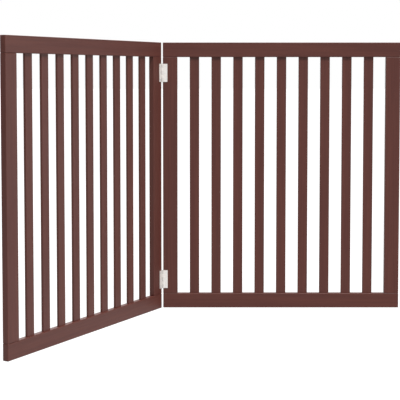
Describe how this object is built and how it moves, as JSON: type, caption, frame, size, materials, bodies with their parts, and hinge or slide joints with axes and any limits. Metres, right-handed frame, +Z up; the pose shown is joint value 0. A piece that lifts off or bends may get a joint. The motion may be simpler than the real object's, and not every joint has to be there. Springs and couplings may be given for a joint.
{
  "type": "pet gate",
  "caption": "Free-standing folding pet gate: slatted painted wooden panels on butt hinges, which stand at an angle across a doorway and fold flat face to face.",
  "frame": {"origin": "on the floor, under the middle of the gate's bounding box with the panels standing at 120 degrees to each other", "axes": "+Z up; +X along the right panel, from the hinges to its outer stile; +Y from the faces that carry the hinges to the backs"},
  "size_m": [1.22, 0.7136, 0.9],
  "materials": {
    "painted_wood": "dark reddish-brown satin paint",
    "bare_wood": "bare beech",
    "zinc_plate": "zinc-plated",
    "pin_steel": "dull drawn steel",
    "screw_steel": "zinc-plated"
  },
  "bodies": {
    "right_panel": {"right_bottom_rail": "painted_wood", "right_top_rail": "painted_wood", "right_hinge_stile": "painted_wood", "right_outer_stile": "painted_wood", "right_slat_1": "painted_wood", "right_slat_2": "painted_wood", "right_slat_3": "painted_wood", "right_slat_4": "painted_wood", "right_slat_5": "painted_wood", "right_slat_6": "painted_wood", "right_slat_7": "painted_wood", "right_slat_8": "painted_wood", "right_slat_9": "painted_wood", "right_bottom_hinge_dowel_1": "bare_wood", "right_bottom_hinge_dowel_2": "bare_wood", "right_bottom_outer_dowel_1": "bare_wood", "right_bottom_outer_dowel_2": "bare_wood", "right_top_hinge_dowel_1": "bare_wood", "right_top_hinge_dowel_2": "bare_wood", "right_top_outer_dowel_1": "bare_wood", "right_top_outer_dowel_2": "bare_wood", "lower_hinge_right_leaf": "zinc_plate", "upper_hinge_right_leaf": "zinc_plate", "lower_hinge_pin": "pin_steel", "upper_hinge_pin": "pin_steel", "lower_hinge_right_screw_1": "screw_steel", "lower_hinge_right_screw_2": "screw_steel", "lower_hinge_right_screw_3": "screw_steel", "upper_hinge_right_screw_1": "screw_steel", "upper_hinge_right_screw_2": "screw_steel", "upper_hinge_right_screw_3": "screw_steel"},
    "left_panel": {"left_bottom_rail": "painted_wood", "left_top_rail": "painted_wood", "left_hinge_stile": "painted_wood", "left_outer_stile": "painted_wood", "left_slat_1": "painted_wood", "left_slat_2": "painted_wood", "left_slat_3": "painted_wood", "left_slat_4": "painted_wood", "left_slat_5": "painted_wood", "left_slat_6": "painted_wood", "left_slat_7": "painted_wood", "left_slat_8": "painted_wood", "left_slat_9": "painted_wood", "left_bottom_hinge_dowel_1": "bare_wood", "left_bottom_hinge_dowel_2": "bare_wood", "left_bottom_outer_dowel_1": "bare_wood", "left_bottom_outer_dowel_2": "bare_wood", "left_top_hinge_dowel_1": "bare_wood", "left_top_hinge_dowel_2": "bare_wood", "left_top_outer_dowel_1": "bare_wood", "left_top_outer_dowel_2": "bare_wood", "lower_hinge_left_leaf": "zinc_plate", "upper_hinge_left_leaf": "zinc_plate", "lower_hinge_left_screw_1": "screw_steel", "lower_hinge_left_screw_2": "screw_steel", "lower_hinge_left_screw_3": "screw_steel", "upper_hinge_left_screw_1": "screw_steel", "upper_hinge_left_screw_2": "screw_steel", "upper_hinge_left_screw_3": "screw_steel"}
  },
  "joints": [
    {"name": "panel_fold", "type": "hinge", "parent": "right_panel", "child": "left_panel", "pos_m": [-0.19176, 0.33579, 0.448], "axis": [0, 0, 1], "range_deg": [-70, 120]}
  ]
}
